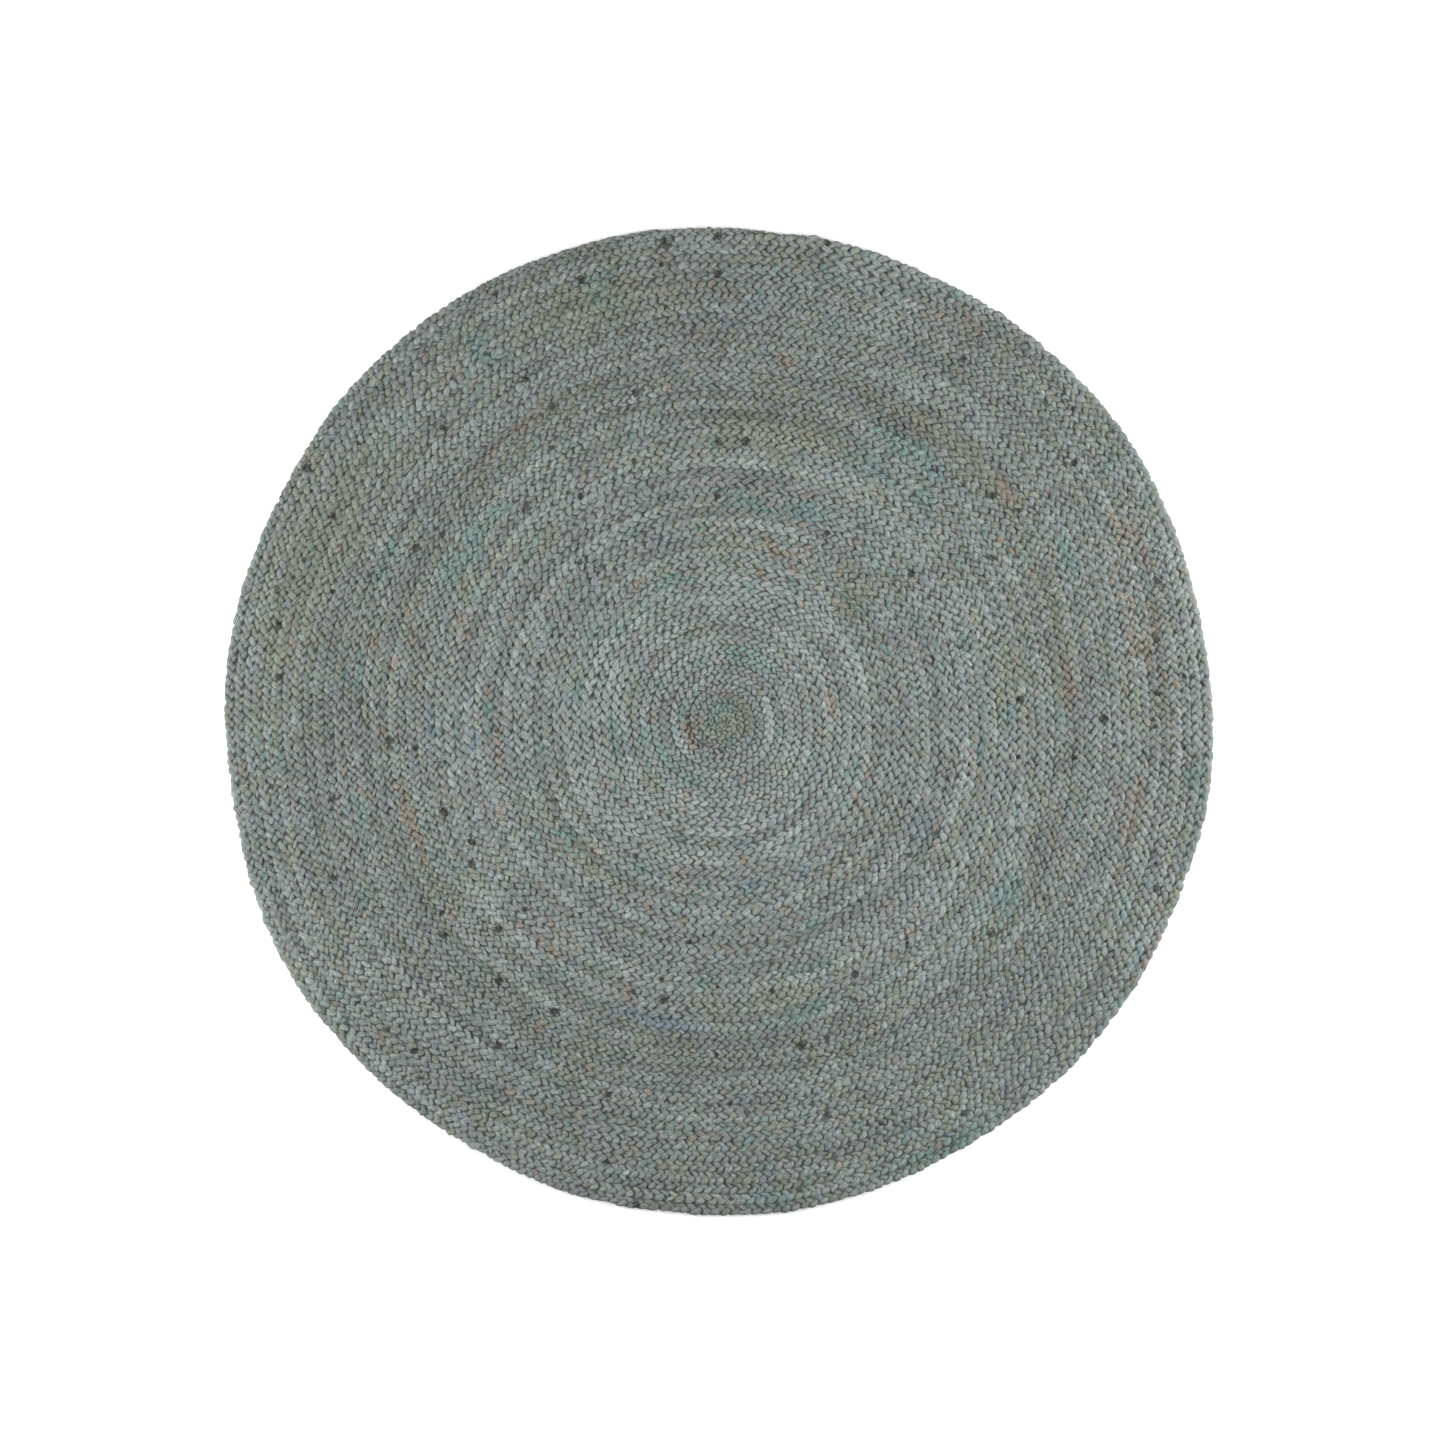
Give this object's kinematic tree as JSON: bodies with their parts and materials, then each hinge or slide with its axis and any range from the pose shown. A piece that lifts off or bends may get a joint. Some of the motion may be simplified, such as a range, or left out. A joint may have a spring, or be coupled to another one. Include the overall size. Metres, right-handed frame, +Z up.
{
  "type": "round jute rug",
  "caption": "Flat round rug of one jute braid wound edge to edge in a spiral from the eye to a tapered end at the rim, for laying on a floor.",
  "frame": {"origin": "middle of the outline's box, on the underside", "axes": "+Z up out of the rug's face. +Y is the top of the picture, +X its right side."},
  "size_m": [1.1982, 1.201, 0.01],
  "materials": {
    "jute_braid": "matt dyed jute yarn, grey-green with teal, olive and brown lengths"
  },
  "bodies": {
    "root": {"rug": "jute_braid"}
  },
  "joints": []
}
